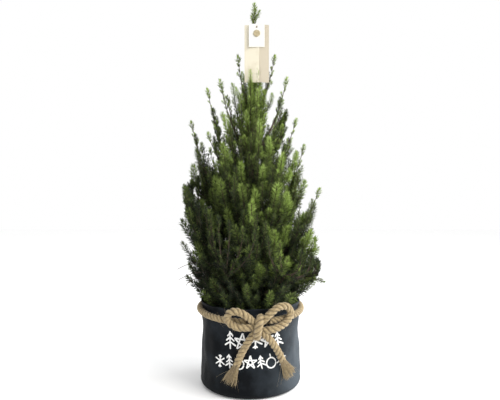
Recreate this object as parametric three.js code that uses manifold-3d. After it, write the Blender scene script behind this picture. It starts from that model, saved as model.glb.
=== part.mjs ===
// A dwarf conical spruce in a soft fabric planter, with a thick jute rope tied in a bow round the
// planter and a folded card tag hung on the leading shoot.
// Millimetres, +Z up. The origin is the middle of the planter's flat underside, and the bow and
// the tag face -Y.
import * as THREE from "three";
import { mergeVertices } from "three/addons/utils/BufferGeometryUtils.js";
import Module from "manifold-3d";

const wasm = await Module();
wasm.setup();

// ---- driving dimensions ------------------------------------------------------------------

const CLEARANCE = 0.5; // the gap left between two pieces that touch

const SLEEVE = {
  radius: 105, height: 172, wall: 3, floor: 4, corner: 12, waist: 1.5, sides: 30,
  cinch: 5.5, cinchHeight: 158, cinchSpread: 11, // drawn in under the rope
};
const SOIL = { top: 150, rim: 3, sides: 20 };
const TRUNK = { tip: 786, foot: 9, flare: 5, flareHeight: 26, end: 1.1, lean: 8, bow: 5 };

// The leading shoot's foliage, above the tag's string and below it: foot, tip and half width.
const LEADER = { tip: [752, 800, 11], stalk: [598, 736, 15], sides: 9 };

// The crown, tier by tier from the planter up. A tier's limbs leave the trunk at its foot height,
// and each limb carries one mass of foliage: azimuth in degrees from +X, height of its tip, how far
// the tip stands out from the trunk, and half its width across.
const CROWN = [
  {
    name: "skirt", foot: 168, start: 0.16, flatness: 0.8, boughs: 3,
    limbs: [
      [8, 276, 146, 58], [67, 268, 138, 60], [124, 264, 136, 60],
      [184, 290, 142, 58], [244, 262, 124, 60], [303, 268, 128, 60],
    ],
  },
  {
    name: "belly", foot: 214, start: 0.2, flatness: 0.74, boughs: 3,
    limbs: [
      [342, 402, 146, 60], [38, 384, 138, 62], [96, 378, 132, 62],
      [154, 392, 142, 60], [206, 404, 146, 60], [271, 376, 126, 64],
    ],
  },
  {
    name: "middle", foot: 292, start: 0.2, flatness: 0.74, boughs: 3,
    limbs: [
      [12, 498, 118, 52], [70, 484, 108, 54], [128, 496, 114, 54],
      [174, 547, 128, 44], [240, 486, 108, 54], [304, 466, 110, 54],
    ],
  },
  {
    name: "shoulder", foot: 384, start: 0.2, flatness: 0.8, boughs: 3,
    limbs: [
      [352, 548, 95, 40], [48, 566, 86, 42], [104, 560, 80, 42],
      [180, 614, 92, 33], [228, 546, 78, 42], [284, 536, 72, 44],
    ],
  },
  {
    name: "upper", foot: 470, start: 0.18, flatness: 0.84, boughs: 0,
    limbs: [
      [350, 634, 75, 28], [74, 622, 56, 31], [142, 634, 52, 29], [196, 628, 68, 29],
      [288, 604, 42, 34],
    ],
  },
  {
    name: "crest", foot: 552, start: 0.2, flatness: 0.86, boughs: 0,
    limbs: [
      [14, 689, 50, 14], [92, 668, 34, 20], [176, 685, 30, 17], [262, 647, 28, 22],
    ],
  },
];

// How straight a limb runs before it bends up, and its bough: radius at the trunk, the share of
// that left at its end, and how far it runs on inside its mass before it is cut off there.
const LIMB = { straight: 0.55, foot: 4.6, taper: 0.55, sides: 6, runOn: 0.14 };
const MASS = { sides: 7, rings: 7, uneven: 0.12 };

// The rope dips at the front. The band stops short of the knot's middle by an angle each way, and
// the bow's loops and tails lie on top of the band.
const ROPE = { radius: 6.5, sides: 8, backHeight: 161, frontHeight: 150, knot: [14, 141],
  bandGap: 11 };
const KNOT = { width: 24, depth: 22, height: 34, off: 11, lean: 0.25 };

// The card is folded down a line right of its middle, and the crease stands towards -Y.
const TAG = {
  x: 13, y: -13, top: 745, height: 120, width: 51, crease: 5, creaseDepth: 4, thickness: 0.9,
  hole: 5.2, holeDrop: 5, room: 3,
};
const LABEL = {
  width: 33, height: 48, thickness: 0.7, sealRadius: 7, sealThickness: 0.5, sealDrop: 20,
};
const STRING = { radius: 0.6, spread: 5, rise: 5, slack: 2, sides: 5, turns: 16 };

const COLOURS = {
  sleeve: [0x2b2e33, 0.8], soil: [0x2c221a, 0.95], bark: [0x6b5138, 0.9], foliage: [0x4c6330, 0.8],
  rope: [0xb8925c, 0.9], card: [0xf1e4c6, 0.7], label: [0xfaf8f2, 0.6], seal: [0xc9a35a, 0.4],
};

// ---- shared shapes -----------------------------------------------------------------------

const planter = new THREE.Group();

function material(name) {
  const [color, roughness] = COLOURS[name];
  return new THREE.MeshStandardMaterial({ color, roughness, metalness: 0 });
}

function add(name, geometry, finish) {
  const mesh = new THREE.Mesh(geometry, material(finish));
  mesh.name = name;
  planter.add(mesh);
}

// A closed geometry as a solid that can be cut, and back.
function solidOf(geometry) {
  const bare = new THREE.BufferGeometry();
  const whole = geometry.index ? geometry.toNonIndexed() : geometry;
  bare.setAttribute("position", whole.getAttribute("position"));
  const merged = mergeVertices(bare, 1e-3);
  return new wasm.Manifold(
    new wasm.Mesh({
      numProp: 3,
      vertProperties: merged.attributes.position.array,
      triVerts: new Uint32Array(merged.index.array),
    }),
  );
}

function geometryOf(solid) {
  const mesh = solid.getMesh();
  const geometry = new THREE.BufferGeometry();
  geometry.setAttribute("position", new THREE.BufferAttribute(mesh.vertProperties, 3));
  geometry.setIndex(new THREE.BufferAttribute(mesh.triVerts, 1));
  return geometry;
}

// The largest piece that is left of a solid once others are cut out of it.
function cutBy(solid, others) {
  const left = others.reduce((rest, other) => rest.subtract(other), solid);
  return left.decompose().sort((a, b) => b.volume() - a.volume())[0];
}

// A lathe turned about the line from y = 0 to y = 1 and then laid along a path: place(t) gives the
// path's point and its two crossways directions.
function alongPath(profile, sides, place, shape = () => 1) {
  const geometry = new THREE.LatheGeometry(profile, sides);
  const position = geometry.getAttribute("position");
  for (let i = 0; i < position.count; i += 1) {
    const [x, t, z] = [position.getX(i), position.getY(i), position.getZ(i)];
    const { point, across, outward } = place(t);
    const swell = shape(t, Math.atan2(z, x));
    point.addScaledVector(across, x * swell).addScaledVector(outward, z * swell);
    position.setXYZ(i, point.x, point.y, point.z);
  }
  return geometry;
}

// A round tube with flat ends along a smooth curve through the given points.
function tube(points, radius, sides, steps) {
  const path = new THREE.CatmullRomCurve3(points.map((p) => new THREE.Vector3(...p)));
  const section = new THREE.Shape();
  for (let i = 0; i < sides; i += 1) {
    const angle = (2 * Math.PI * i) / sides;
    const corner = [radius * Math.cos(angle), radius * Math.sin(angle)];
    if (i === 0) section.moveTo(...corner);
    else section.lineTo(...corner);
  }
  return new THREE.ExtrudeGeometry(section, { extrudePath: path, steps });
}

// ---- the planter and its soil ------------------------------------------------------------

// The sleeve's outer radius: a little narrower at mid height, as soft cloth stands, and drawn in
// where the rope is tied round it.
function sleeveRadius(z) {
  const fromRope = (z - SLEEVE.cinchHeight) / SLEEVE.cinchSpread;
  const waist = SLEEVE.waist * Math.sin((Math.PI * z) / SLEEVE.height);
  return SLEEVE.radius - waist - SLEEVE.cinch * Math.exp(-(fromRope ** 2));
}

// A sleeve grown by a margin all over. The finished one has a margin of zero.
function sleeveGeometry(margin = 0) {
  const { height, wall, floor, corner, sides } = SLEEVE;
  const outer = [new THREE.Vector2(0, -margin)];
  for (const angle of [0, 35, 90]) {
    const a = THREE.MathUtils.degToRad(angle);
    const r = SLEEVE.radius - corner + (corner + margin) * Math.sin(a);
    outer.push(new THREE.Vector2(r, corner - (corner + margin) * Math.cos(a)));
  }
  const { cinchHeight, cinchSpread } = SLEEVE;
  const bends = [height + margin, cinchHeight, cinchHeight - cinchSpread, 0.75 * height];
  for (const z of [0.4 * height, ...bends.slice().reverse()]) {
    outer.push(new THREE.Vector2(sleeveRadius(Math.min(z, height)) + margin, z));
  }
  const inner = [...bends, floor + margin].map(
    (z) => new THREE.Vector2(sleeveRadius(Math.min(z, height)) - wall - margin, z),
  );
  const profile = [...outer, ...inner, new THREE.Vector2(0, floor + margin)];
  return new THREE.LatheGeometry(profile, sides).rotateX(Math.PI / 2);
}

// The soil stays clear of the sleeve, and its rim is worn round.
function soilGeometry(margin = 0) {
  const radius = sleeveRadius(SOIL.top) - SLEEVE.wall - 2 * CLEARANCE;
  const foot = SLEEVE.floor + CLEARANCE;
  const top = SOIL.top + margin;
  const profile = [
    new THREE.Vector2(0, foot),
    new THREE.Vector2(radius - SLEEVE.corner / 2, foot),
    new THREE.Vector2(radius, foot + SLEEVE.corner / 2),
    new THREE.Vector2(radius, top - SOIL.rim),
    new THREE.Vector2(radius - SOIL.rim, top),
    new THREE.Vector2(0, top),
  ];
  return new THREE.LatheGeometry(profile, SOIL.sides).rotateX(Math.PI / 2);
}

// ---- trunk, boughs and foliage -----------------------------------------------------------

// The trunk's middle line leans a little towards +X and bows on the way up.
function trunkLine(z) {
  const t = (z - SOIL.top) / (TRUNK.tip - SOIL.top);
  const x = TRUNK.lean * t * t;
  const y = TRUNK.bow * Math.sin(Math.PI * t) * t;
  return new THREE.Vector3(x, y, z);
}

function trunkRadius(z) {
  const t = Math.min(1, (z - SOIL.top) / (TRUNK.tip - SOIL.top));
  const flare = TRUNK.flare * Math.exp(-(z - SOIL.top) / TRUNK.flareHeight);
  return TRUNK.end + (TRUNK.foot - TRUNK.end) * (1 - t) ** 1.15 + flare;
}

function trunkGeometry(margin = 0) {
  const foot = SOIL.top + CLEARANCE - margin;
  const rise = TRUNK.tip + margin - foot;
  const heights = [0, 0.02, 0.05, 0.12, 0.3, 0.5, 0.7, 0.85, 1];
  const profile = [new THREE.Vector2(0, 0)];
  for (const t of heights) {
    profile.push(new THREE.Vector2(trunkRadius(foot + rise * t) + margin, t));
  }
  profile.push(new THREE.Vector2(0, 1));
  return alongPath(profile, 10, (t) => ({
    point: trunkLine(foot + rise * t),
    across: new THREE.Vector3(1, 0, 0),
    outward: new THREE.Vector3(0, -1, 0),
  }));
}

// A limb leaves the trunk slanting and bends upwards. t runs from the trunk to the tip.
function limbPlace(tier, [azimuth, tip, reach], t) {
  const angle = THREE.MathUtils.degToRad(azimuth);
  const out = new THREE.Vector3(Math.cos(angle), Math.sin(angle), 0);
  const side = new THREE.Vector3(-out.y, out.x, 0);
  const quarter = (Math.PI / 2) * t;
  const bent = 1 - LIMB.straight;
  const along = LIMB.straight * t + bent * Math.sin(quarter);
  const up = LIMB.straight * t + bent * (1 - Math.cos(quarter));
  const slopeOut = reach * (LIMB.straight + bent * Math.cos(quarter) * (Math.PI / 2));
  const slopeUp = (tip - tier.foot) * (LIMB.straight + bent * Math.sin(quarter) * (Math.PI / 2));
  const point = trunkLine(tier.foot).addScaledVector(out, reach * along);
  point.z = tier.foot + (tip - tier.foot) * up;
  const outward = out.clone().multiplyScalar(slopeUp);
  outward.z = -slopeOut;
  return { point, across: side, outward: outward.normalize() };
}

// The share of a mass's full width at t: round at its foot, then a long taper to the tip.
function flame(t) {
  return (1 - t ** 2.4) * Math.min(1, t / 0.3) ** 0.5;
}

function massGeometry(tier, limb, seed, margin = 0) {
  const halfWidth = limb[3];
  const profile = [];
  for (let i = 0; i <= MASS.rings; i += 1) {
    const t = i / MASS.rings;
    const radius = i === 0 || i === MASS.rings ? 0 : halfWidth * flame(t) + margin;
    const end = i === 0 ? -margin : i === MASS.rings ? margin : 0;
    profile.push(new THREE.Vector2(radius, t + end / (limb[1] - tier.foot)));
  }
  const span = 1 - tier.start;
  return alongPath(
    profile,
    MASS.sides,
    (t) => {
      const place = limbPlace(tier, limb, tier.start + span * t);
      place.outward.multiplyScalar(tier.flatness);
      return place;
    },
    (t, a) => {
      const lobes = Math.sin(3 * a + seed + 4 * t) + Math.sin(2 * a - 1.7 * seed - 9 * t);
      return 1 + MASS.uneven * lobes;
    },
  );
}

function boughGeometry(tier, limb) {
  const foot = LIMB.foot * (1 - 0.4 * ((tier.foot - SOIL.top) / (TRUNK.tip - SOIL.top)));
  const reachIn = tier.start + LIMB.runOn;
  const profile = [new THREE.Vector2(0, 0)];
  for (const t of [0, 0.25, 0.5, 0.75, 1]) {
    profile.push(new THREE.Vector2(foot * (1 - (1 - LIMB.taper) * t), t));
  }
  profile.push(new THREE.Vector2(0, 1));
  return alongPath(profile, LIMB.sides, (t) => limbPlace(tier, limb, reachIn * t));
}

// The leading shoot's foliage: a slim spindle round the trunk between two heights.
function leaderGeometry([foot, tip, halfWidth], seed, margin = 0) {
  const profile = [];
  for (let i = 0; i <= MASS.rings; i += 1) {
    const t = i / MASS.rings;
    const radius = i === 0 || i === MASS.rings ? 0 : halfWidth * flame(t) + margin;
    profile.push(new THREE.Vector2(radius, t));
  }
  return alongPath(
    profile,
    LEADER.sides,
    (t) => ({
      point: trunkLine(foot + (tip - foot) * t),
      across: new THREE.Vector3(1, 0, 0),
      outward: new THREE.Vector3(0, -1, 0),
    }),
    (t, a) => 1 + MASS.uneven * Math.sin(3 * a + seed + 5 * t),
  );
}

// Each mass is cut round the trunk, the planter, the soil and every mass above it, and a bough is
// cut off where it enters a mass.
function addCrown() {
  const trunk = solidOf(trunkGeometry(CLEARANCE));
  const tagRoom = solidOf(
    new THREE.BoxGeometry(TAG.width, TAG.creaseDepth, TAG.height)
      .scale(1 + (2 * TAG.room) / TAG.width, 3, 1 + (2 * TAG.room) / TAG.height)
      .translate(TAG.x, TAG.y - TAG.thickness, TAG.top - TAG.height / 2),
  );
  const tip = cutBy(solidOf(leaderGeometry(LEADER.tip, 1)), [trunk]);
  const stalk = cutBy(solidOf(leaderGeometry(LEADER.stalk, 4)), [trunk, tagRoom]);
  add("foliage_leader_tip", geometryOf(tip), "foliage");
  add("foliage_leader_stalk", geometryOf(stalk), "foliage");

  const taken = [trunk, tagRoom];
  taken.push(solidOf(sleeveGeometry(CLEARANCE)));
  taken.push(solidOf(soilGeometry(CLEARANCE)));
  taken.push(solidOf(leaderGeometry(LEADER.stalk, 4, CLEARANCE)));
  const boughs = [];
  for (const tier of [...CROWN].reverse()) {
    tier.limbs.forEach((limb, i) => {
      const seed = limb[0] + i;
      const mass = cutBy(solidOf(massGeometry(tier, limb, seed)), taken);
      add(`foliage_${tier.name}_${i + 1}`, geometryOf(mass), "foliage");
      taken.push(solidOf(massGeometry(tier, limb, seed, CLEARANCE)));
      if (i % 2 === 0 && i / 2 < tier.boughs) boughs.push({ tier, limb, i });
    });
  }
  for (const { tier, limb, i } of boughs) {
    const bough = cutBy(solidOf(boughGeometry(tier, limb)), taken);
    add(`bough_${tier.name}_${i + 1}`, geometryOf(bough), "bark");
  }
}

// ---- the rope and its bow ----------------------------------------------------------------

// How far the rope's middle line lies from the planter's axis, clear of the cloth's slopes.
const LIE = sleeveRadius(SLEEVE.cinchHeight) + ROPE.radius + 4 * CLEARANCE;

function ropeBandPoints() {
  const points = [];
  const [knotX] = ROPE.knot;
  const gap = ROPE.bandGap;
  const front = THREE.MathUtils.radToDeg(Math.asin(knotX / LIE)) - 90;
  for (let i = 0; i <= 24; i += 1) {
    const azimuth = front + gap + ((360 - 2 * gap) * i) / 24;
    const a = THREE.MathUtils.degToRad(azimuth);
    const back = (1 + Math.sin(a)) / 2; // 0 at the front and 1 at the back
    const drop = (ROPE.backHeight - ROPE.frontHeight) * (1 - back) ** 1.5;
    const z = ROPE.backHeight - drop;
    const lie = sleeveRadius(z) + LIE - sleeveRadius(SLEEVE.cinchHeight);
    points.push([lie * Math.cos(a), lie * Math.sin(a), z]);
  }
  return points;
}

// A point in front of the planter, given across and up, standing a distance off the band's line.
function onFront(x, z, off) {
  const r = LIE + off;
  return [x, -Math.sqrt(Math.max(r * r - x * x, 0)), z];
}

function addRope() {
  const [kx, kz] = ROPE.knot;
  const lift = 2 * ROPE.radius + 1; // loops and tails lie on top of the band
  const knotShape = (margin = 0) => {
    const { width, depth, height, off, lean } = KNOT;
    return new THREE.SphereGeometry(1, 12, 8)
      .scale(width / 2 + margin, depth / 2 + margin, height / 2 + margin)
      .rotateY(lean)
      .translate(kx, onFront(kx, kz, off)[1], kz);
  };
  const pieces = {
    rope_band: { points: ropeBandPoints(), steps: 32, radius: ROPE.radius },
    rope_loop_left: {
      points: [
        onFront(kx - 6, kz + 8, 8), onFront(-8, 164, lift), onFront(-26, 172, lift + 2),
        onFront(-40, 168, lift + 2), onFront(-43, 155, lift), onFront(-30, 144, lift),
        onFront(-10, 142, lift), onFront(kx - 6, kz + 2, 8),
      ],
      steps: 16, radius: ROPE.radius,
    },
    rope_loop_right: {
      points: [
        onFront(kx + 6, kz + 8, 8), onFront(36, 166, lift), onFront(52, 178, lift + 2),
        onFront(68, 178, lift + 2), onFront(77, 164, lift), onFront(68, 148, lift),
        onFront(46, 138, lift), onFront(kx + 8, kz - 6, 8),
      ],
      steps: 16, radius: ROPE.radius,
    },
    rope_tail_left: {
      points: [
        onFront(kx - 6, kz - 10, 10), onFront(-5, 116, 10), onFront(-18, 90, 8),
        onFront(-28, 66, 7), onFront(-37, 34, 7),
      ],
      steps: 8, radius: ROPE.radius,
    },
    rope_tail_right: {
      points: [
        onFront(kx + 8, kz - 10, 10), onFront(36, 116, 10), onFront(52, 92, 8),
        onFront(64, 68, 7), onFront(74, 40, 7),
      ],
      steps: 8, radius: ROPE.radius,
    },
  };
  add("rope_knot", knotShape(), "rope");
  const taken = [solidOf(knotShape(CLEARANCE)), solidOf(sleeveGeometry(CLEARANCE))];
  for (const [name, piece] of Object.entries(pieces)) {
    const solid = cutBy(solidOf(tube(piece.points, piece.radius, ROPE.sides, piece.steps)), taken);
    add(name, geometryOf(solid), "rope");
    const grown = tube(piece.points, piece.radius + CLEARANCE, ROPE.sides, piece.steps);
    taken.push(solidOf(grown));
  }
}

// ---- the tag on the leading shoot --------------------------------------------------------

// A flat plate with a punched hole.
function plate(corners, [holeX, holeZ], thickness) {
  const shape = new THREE.Shape(corners.map(([x, z]) => new THREE.Vector2(x, z)));
  const round = new THREE.Path();
  round.absarc(holeX, holeZ, TAG.hole / 2, 0, 2 * Math.PI, true);
  shape.holes.push(round);
  return new THREE.ExtrudeGeometry(shape, {
    depth: thickness, bevelEnabled: false, curveSegments: 6,
  });
}

function addTag() {
  const holeZ = TAG.top - TAG.holeDrop;
  const half = TAG.width / 2;
  const { crease, creaseDepth, thickness } = TAG;
  const section = new THREE.Shape();
  section.moveTo(-half, 0);
  section.lineTo(crease, -creaseDepth);
  section.lineTo(half, 0);
  section.lineTo(half, thickness);
  section.lineTo(crease, thickness - creaseDepth);
  section.lineTo(-half, thickness);
  const depth = TAG.height;
  const folded = new THREE.ExtrudeGeometry(section, { depth, bevelEnabled: false });
  folded.translate(TAG.x, TAG.y, TAG.top - TAG.height);
  const punch = new THREE.CylinderGeometry(TAG.hole / 2, TAG.hole / 2, 30, 12);
  punch.translate(TAG.x, TAG.y, holeZ);
  const card = solidOf(folded).subtract(solidOf(punch));
  add("tag_card", geometryOf(card), "card");

  const labelFront = TAG.y - TAG.creaseDepth - CLEARANCE;
  const w = LABEL.width / 2;
  const top = TAG.top + 1; // the label's top edge stands just above the card's
  const foot = top - LABEL.height;
  const corners = [[-w, foot], [w, foot], [w, top], [-w, top]];
  const label = plate(corners, [0, holeZ], LABEL.thickness).rotateX(Math.PI / 2);
  label.translate(TAG.x, labelFront, 0);
  add("tag_label", label, "label");

  const { sealRadius, sealThickness, sealDrop } = LABEL;
  const seal = new THREE.CylinderGeometry(sealRadius, sealRadius, sealThickness, 16);
  const sealMiddle = labelFront - LABEL.thickness - CLEARANCE - sealThickness / 2;
  seal.translate(TAG.x, sealMiddle, top - sealDrop);
  add("tag_seal", seal, "seal");

  // The string is one loop: both its strands go through the hole, and it spreads round the shoot.
  const stem = trunkLine(holeZ + STRING.rise);
  const front = labelFront - LABEL.thickness - STRING.slack;
  const back = stem.y + trunkRadius(holeZ) + STRING.radius + STRING.slack;
  const ring = new THREE.TorusGeometry(1, 0.5, STRING.sides, STRING.turns);
  const position = ring.getAttribute("position");
  for (let i = 0; i < position.count; i += 1) {
    const p = new THREE.Vector3().fromBufferAttribute(position, i);
    const round = Math.atan2(p.y, p.x);
    const outward = (Math.hypot(p.x, p.y) - 1) * 2 * STRING.radius;
    const up = p.z * 2 * STRING.radius;
    // 0 round the shoot and 1 from the card forwards
    const share = THREE.MathUtils.smoothstep((1 - Math.sin(round)) / 2, 0, 0.8);
    const middle = THREE.MathUtils.lerp(stem.x, TAG.x, share);
    const spread = THREE.MathUtils.lerp(STRING.spread, 2 * STRING.radius, share);
    const x = middle + (spread + outward) * Math.cos(round);
    const y = (front + back) / 2 + ((back - front) / 2 + outward) * Math.sin(round);
    position.setXYZ(i, x, y, THREE.MathUtils.lerp(holeZ + STRING.rise, holeZ, share) + up);
  }
  add("tag_string", ring, "rope");
}

// ---- assembly ----------------------------------------------------------------------------

add("planter_sleeve", sleeveGeometry(), "sleeve");
add("potting_soil", soilGeometry(), "soil");
add("trunk", trunkGeometry(), "bark");
addCrown();
addRope();
addTag();

export default planter;
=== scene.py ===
"""A dwarf conical spruce in a soft fabric planter, with a jute bow and a card tag.

Metres, +Z up, in the part's own frame. The bow and the tag face -Y.
"""

import math

import bpy
import numpy as np
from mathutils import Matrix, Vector, noise
from mathutils.bvhtree import BVHTree


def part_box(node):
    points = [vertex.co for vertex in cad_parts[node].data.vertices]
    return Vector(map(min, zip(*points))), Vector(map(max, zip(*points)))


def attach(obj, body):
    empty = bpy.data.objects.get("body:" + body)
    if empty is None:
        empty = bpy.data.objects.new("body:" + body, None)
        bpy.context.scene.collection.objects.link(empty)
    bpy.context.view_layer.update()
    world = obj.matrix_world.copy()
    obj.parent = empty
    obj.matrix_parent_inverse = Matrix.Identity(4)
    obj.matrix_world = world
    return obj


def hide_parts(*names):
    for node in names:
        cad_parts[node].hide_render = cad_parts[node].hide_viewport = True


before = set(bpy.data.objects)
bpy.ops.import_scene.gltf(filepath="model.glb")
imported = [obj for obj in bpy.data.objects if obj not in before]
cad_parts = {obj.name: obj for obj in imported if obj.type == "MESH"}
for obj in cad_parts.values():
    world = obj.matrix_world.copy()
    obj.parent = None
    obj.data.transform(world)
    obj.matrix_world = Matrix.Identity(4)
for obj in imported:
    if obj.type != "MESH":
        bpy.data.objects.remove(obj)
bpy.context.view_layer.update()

# ==== the studio ==========================================================================
# A plain pale floor under plain white light, with a large soft lamp above the front right and a
# small one at the right. The camera stands about a metre off, level with the crown's lower half.

CAMERA_PLACE = (0.0, -0.980, 0.370)
LENS_MM, SENSOR_MM = 33.4, 36.0
SHIFT_X, SHIFT_Y = -0.001, 0.010
FLOOR_REACH, FLOOR_HEIGHT = 6, -0.0006


def put_in_studio(name, data):
    """An object that holds a camera, a lamp or a mesh."""
    thing = bpy.data.objects.new(name, data)
    bpy.context.scene.collection.objects.link(thing)
    return thing


camera_data = bpy.data.cameras.new("studio_camera")
camera_data.sensor_width = SENSOR_MM
camera_data.lens = LENS_MM
camera_data.shift_x, camera_data.shift_y = SHIFT_X, SHIFT_Y
camera_data.clip_end = 60.0
camera = put_in_studio("studio_camera", camera_data)
camera.location = CAMERA_PLACE
camera.rotation_euler = (math.radians(90), 0, 0)
bpy.context.scene.camera = camera
bpy.context.scene.view_settings.view_transform = "Standard"

world = bpy.data.worlds.new("studio_air")
world.use_nodes = True
world.node_tree.nodes["Background"].inputs["Color"].default_value = (1.0, 1.0, 1.0, 1.0)
world.node_tree.nodes["Background"].inputs["Strength"].default_value = 1.0
bpy.context.scene.world = world


def soft_lamp(name, place, aim, size, power, tint):
    """A square soft box that looks at a point."""
    lamp_data = bpy.data.lights.new(name, "AREA")
    lamp_data.shape = "SQUARE"
    lamp_data.size = size
    lamp_data.energy = power
    lamp_data.color = tint
    lamp = put_in_studio(name, lamp_data)
    lamp.location = place
    lamp.rotation_euler = (Vector(aim) - Vector(place)).to_track_quat("-Z", "Y").to_euler()


soft_lamp("key_softbox", (1.8, -1.2, 1.8), (0, 0, 0.4), 1.8, 72.0, (1.0, 0.985, 0.96))
soft_lamp("side_softbox", (1.7, 0.45, 0.7), (0, 0, 0.2), 1.0, 22.0, (0.95, 0.98, 1.0))

floor_mesh = bpy.data.meshes.new("studio_floor")
floor_corners = [(x * FLOOR_REACH, y * FLOOR_REACH, FLOOR_HEIGHT)
                 for x, y in ((-1, -1), (1, -1), (1, 1), (-1, 1))]
floor_mesh.from_pydata(floor_corners, [], [(0, 1, 2, 3)])
floor = put_in_studio("studio_floor", floor_mesh)
floor_paint = bpy.data.materials.new("floor_paint")
floor_paint.use_nodes = True
floor_shader = floor_paint.node_tree.nodes["Principled BSDF"]
floor_shader.inputs["Base Color"].default_value = (0.97, 0.97, 0.97, 1)
floor_shader.inputs["Roughness"].default_value = 0.9
floor_mesh.materials.append(floor_paint)

# ==== the planter's cloth =================================================================
# A soft sleeve sewn from one strip of coated dark canvas with a round base. Its top is folded
# in as a hem, its strip is closed by a seam at the back, and the rope draws it in under the rim.

cloth_low, cloth_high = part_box("planter_sleeve")
CLOTH_RADIUS = (cloth_high[0] - cloth_low[0]) / 2
CLOTH_HEIGHT = cloth_high[2]
CLOTH_CORNER, CLOTH_THICK, CLOTH_COLUMNS = 0.012, 0.003, 288
CLOTH_WAIST, CLOTH_CINCH = 0.0022, 0.0055
CINCH_HEIGHT, CINCH_SPREAD = 0.158, 0.011
HEM_DEPTH, HEM_PROUD, HEM_WAVE = 0.017, 0.0006, 0.0016
DENT, PUCKER, LIP_WAVE = 0.0040, 0.0007, 0.0018
LINING_FOOT = 0.12
CLOTH_DARK = (0.0038, 0.0048, 0.0060, 1)
CLOTH_WORN = (0.0200, 0.0250, 0.0305, 1)
# The last is a painted sheen: a lighter cloth colour that stands for light on the right side.
CLOTH_PAINTED_SHEEN = (0.1000, 0.1190, 0.1380, 1)
WEAVE_SCALE = 260


def cloth_radius(height):
    """The sleeve's outer radius with no dents: a slight waist, and drawn in under the rope."""
    waist = CLOTH_WAIST * np.sin(np.pi * height / CLOTH_HEIGHT)
    cinch = CLOTH_CINCH * np.exp(-(((height - CINCH_HEIGHT) / CINCH_SPREAD) ** 2))
    return CLOTH_RADIUS - waist - cinch


def round_noise(angle, reach, height):
    """Smooth noise that closes on itself round the planter."""
    return noise.noise(Vector((reach * math.cos(angle), reach * math.sin(angle), height)))


def cloth_dent(angle, height):
    """How far soft cloth stands out or in: broad dents, and small puckers under the rope."""
    at = Vector((2.1 * math.cos(angle), 2.1 * math.sin(angle), 13 * height))
    broad = noise.noise(at) + 0.45 * noise.noise(at * 2.3)
    free = min(1.0, height / 0.03) * min(1.0, max(0.0, (CINCH_HEIGHT - height) / 0.03))
    near_rope = math.exp(-(((height - CINCH_HEIGHT) / 0.02) ** 2))
    above = max(0.0, (height - CINCH_HEIGHT) / (CLOTH_HEIGHT - CINCH_HEIGHT))
    pucker = PUCKER * round_noise(angle, 9, 4 * height) * near_rope
    return DENT * broad * free + pucker + HEM_WAVE * round_noise(angle, 3.4, 7) * above


def cloth_surface(angle, height):
    """The radius of the finished cloth's outer face."""
    hem = HEM_PROUD if height > CLOTH_HEIGHT - HEM_DEPTH else 0.0
    return float(cloth_radius(height)) + cloth_dent(angle, height) + hem


def on_cloth(angle, height, lift):
    """A point that stands a little off the cloth."""
    r = cloth_surface(angle, height) + lift
    return r * math.cos(angle), r * math.sin(angle), height


def whole_turn(count):
    """Evenly spaced angles round a circle."""
    return np.arange(count) * 2 * math.pi / count


def grid_corners(rows, columns, closed=True):
    """The row and the column of each corner of the quads over a grid of points."""
    last = columns if closed else columns - 1
    row, column = np.meshgrid(np.arange(rows - 1), np.arange(last), indexing="ij")
    return row.reshape(-1, 1) + (0, 0, 1, 1), column.reshape(-1, 1) + (0, 1, 1, 0)


def grid_faces(rows, columns, closed=True):
    """Quads over a grid of points that are kept row by row."""
    row, column = grid_corners(rows, columns, closed)
    return row * columns + column % columns


def make_piece(name, points, faces, finish, stands_for=(), corner_uv=None):
    """A smooth mesh from plain arrays, which rides on the plant and stands for CAD nodes."""
    mesh = bpy.data.meshes.new(name)
    points = np.asarray(points, dtype=np.float32).reshape(-1, 3)
    faces = np.asarray(faces, dtype=np.int32)
    mesh.vertices.add(len(points))
    mesh.vertices.foreach_set("co", points.ravel())
    mesh.loops.add(faces.size)
    mesh.loops.foreach_set("vertex_index", faces.ravel())
    mesh.polygons.add(len(faces))
    mesh.polygons.foreach_set("loop_start", np.arange(0, faces.size, faces.shape[1]))
    mesh.polygons.foreach_set("use_smooth", np.ones(len(faces), dtype=bool))
    if corner_uv is not None:
        layer = mesh.uv_layers.new(name="laid_flat")
        layer.data.foreach_set("uv", np.asarray(corner_uv, dtype=np.float32).ravel())
    mesh.update(calc_edges=True)
    mesh.materials.append(finish)
    piece = put_in_studio(name, mesh)
    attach(piece, "root")
    if stands_for:
        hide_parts(*stands_for)
    return piece


def set_input(socket, value):
    """Gives an input its value, or links it to the output that feeds it."""
    if isinstance(value, bpy.types.NodeSocket):
        socket.id_data.links.new(value, socket)
    else:
        socket.default_value = value


def set_up(node, *values, **settings):
    """Sets a node's properties and its inputs, whose names have a capital, or fills them in turn."""
    for name, value in settings.items():
        if name[0].isupper():
            set_input(node.inputs[name.replace("_", " ")], value)
        else:
            setattr(node, name, value)
    for socket, value in zip(node.inputs, values):
        set_input(socket, value)
    return node


def add_node(tree, kind, *values, **settings):
    """A new shader node's outputs."""
    return set_up(tree.nodes.new("ShaderNode" + kind), *values, **settings).outputs


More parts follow.
